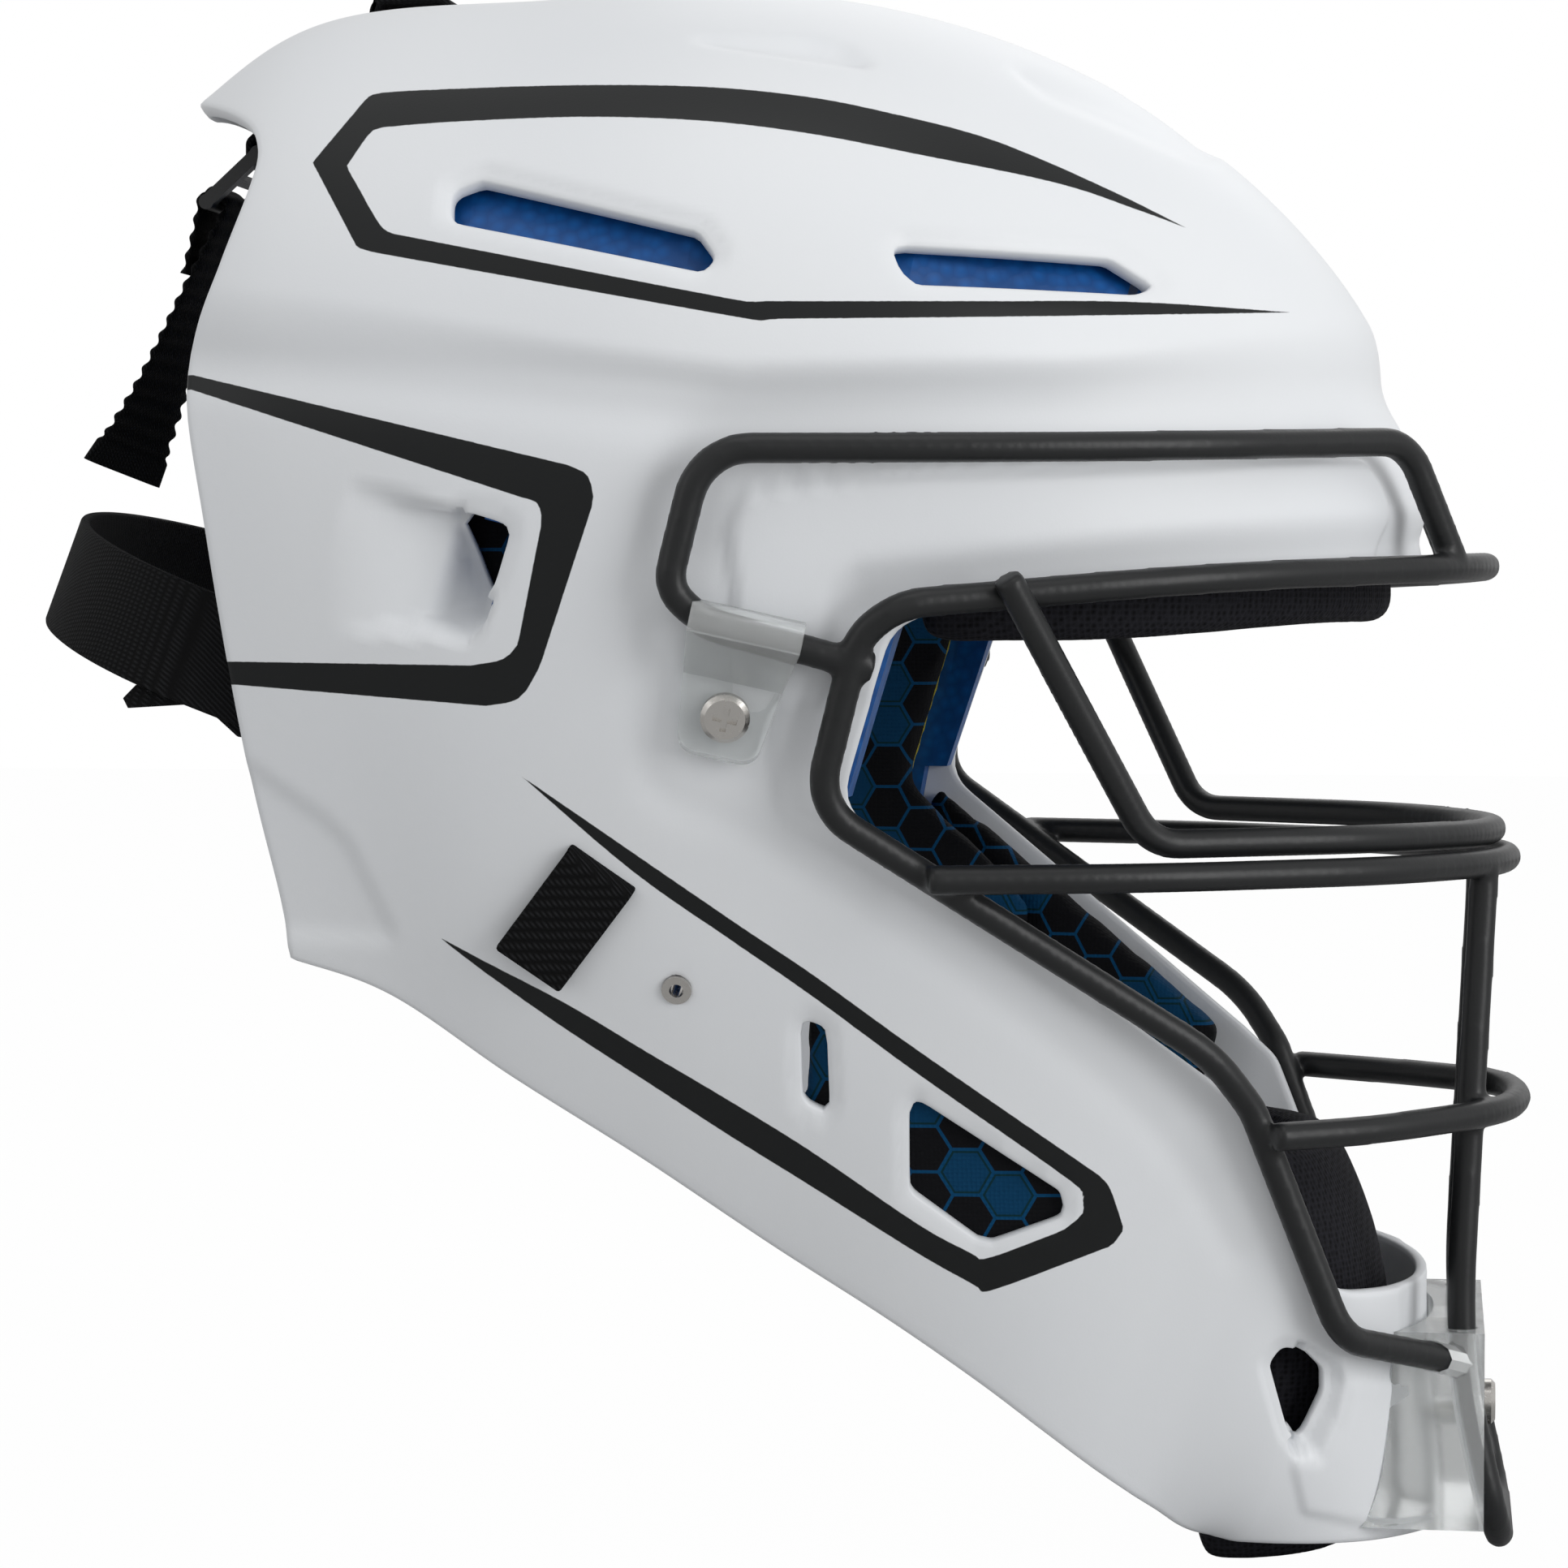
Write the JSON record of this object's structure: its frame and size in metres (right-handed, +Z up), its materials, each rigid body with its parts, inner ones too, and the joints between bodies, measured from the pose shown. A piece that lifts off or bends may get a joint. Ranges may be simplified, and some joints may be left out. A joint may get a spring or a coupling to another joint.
{
  "type": "baseball catcher helmet",
  "caption": "Hard shell with a stepped vented dome, foam liner and pads, a welded wire cage held by clear clips, and elastic straps round the back.",
  "frame": {"origin": "middle of the wearer's head, in the plane of symmetry, level with the lower edge of the brow", "axes": "+X where the wearer faces, +Y the wearer's left, +Z up"},
  "size_m": [0.289, 0.2202, 0.2999],
  "materials": {
    "shell_white": "matte moulded plastic",
    "liner_blue": "expanded bead foam",
    "foam_yellow": "soft open foam",
    "pad_fabric": "wicking mesh over foam",
    "cage_black": "satin powder coat on steel wire",
    "clip_clear": "clear polycarbonate",
    "screw_nickel": "nickel plate",
    "webbing_black": "woven elastic",
    "buckle_black": "moulded plastic"
  },
  "bodies": {
    "helmet": {"shell": "shell_white", "liner_crown": "liner_blue", "liner_side_right": "liner_blue", "liner_side_left": "liner_blue", "foam_side_right": "foam_yellow", "foam_side_left": "foam_yellow", "crown_pad": "pad_fabric", "side_pad_right": "pad_fabric", "side_pad_left": "pad_fabric", "jaw_pad_right": "pad_fabric", "jaw_pad_left": "pad_fabric", "brow_pad": "pad_fabric", "chin_pad": "pad_fabric", "cage_loop": "cage_black", "cage_frame_right": "cage_black", "cage_frame_left": "cage_black", "cage_chin_bar": "cage_black", "cage_eye_bar": "cage_black", "cage_cheek_bar": "cage_black", "cage_mouth_bar": "cage_black", "side_clip_right": "clip_clear", "side_clip_left": "clip_clear", "chin_clip": "clip_clear", "clip_screws": "screw_nickel", "tee_nuts": "screw_nickel", "jaw_eyelet_right": "screw_nickel", "jaw_eyelet_left": "screw_nickel", "crown_loop": "webbing_black", "jaw_tab_right": "webbing_black", "jaw_tab_left": "webbing_black"},
    "lock": {"ladder_lock": "buckle_black"},
    "strap": {"crown_strap": "webbing_black"},
    "band": {"rear_band": "webbing_black", "band_tail_right": "webbing_black", "band_tail_left": "webbing_black"}
  },
  "joints": [
    {"name": "lock_swing", "type": "hinge", "parent": "helmet", "child": "lock", "pos_m": [-0.09264, 0, 0.066], "axis": [0, 1, 0], "range_deg": [-20, 25]},
    {"name": "strap_swing", "type": "hinge", "parent": "lock", "child": "strap", "pos_m": [-0.10304, 0, 0.05663], "axis": [0, 1, 0], "range_deg": [-15, 15]},
    {"name": "band_flex", "type": "hinge", "parent": "helmet", "child": "band", "pos_m": [-0.0754, 0, -0.0316], "axis": [0, 1, 0], "range_deg": [-4, 5], "stiffness_Nm_per_rad": 0.5}
  ]
}
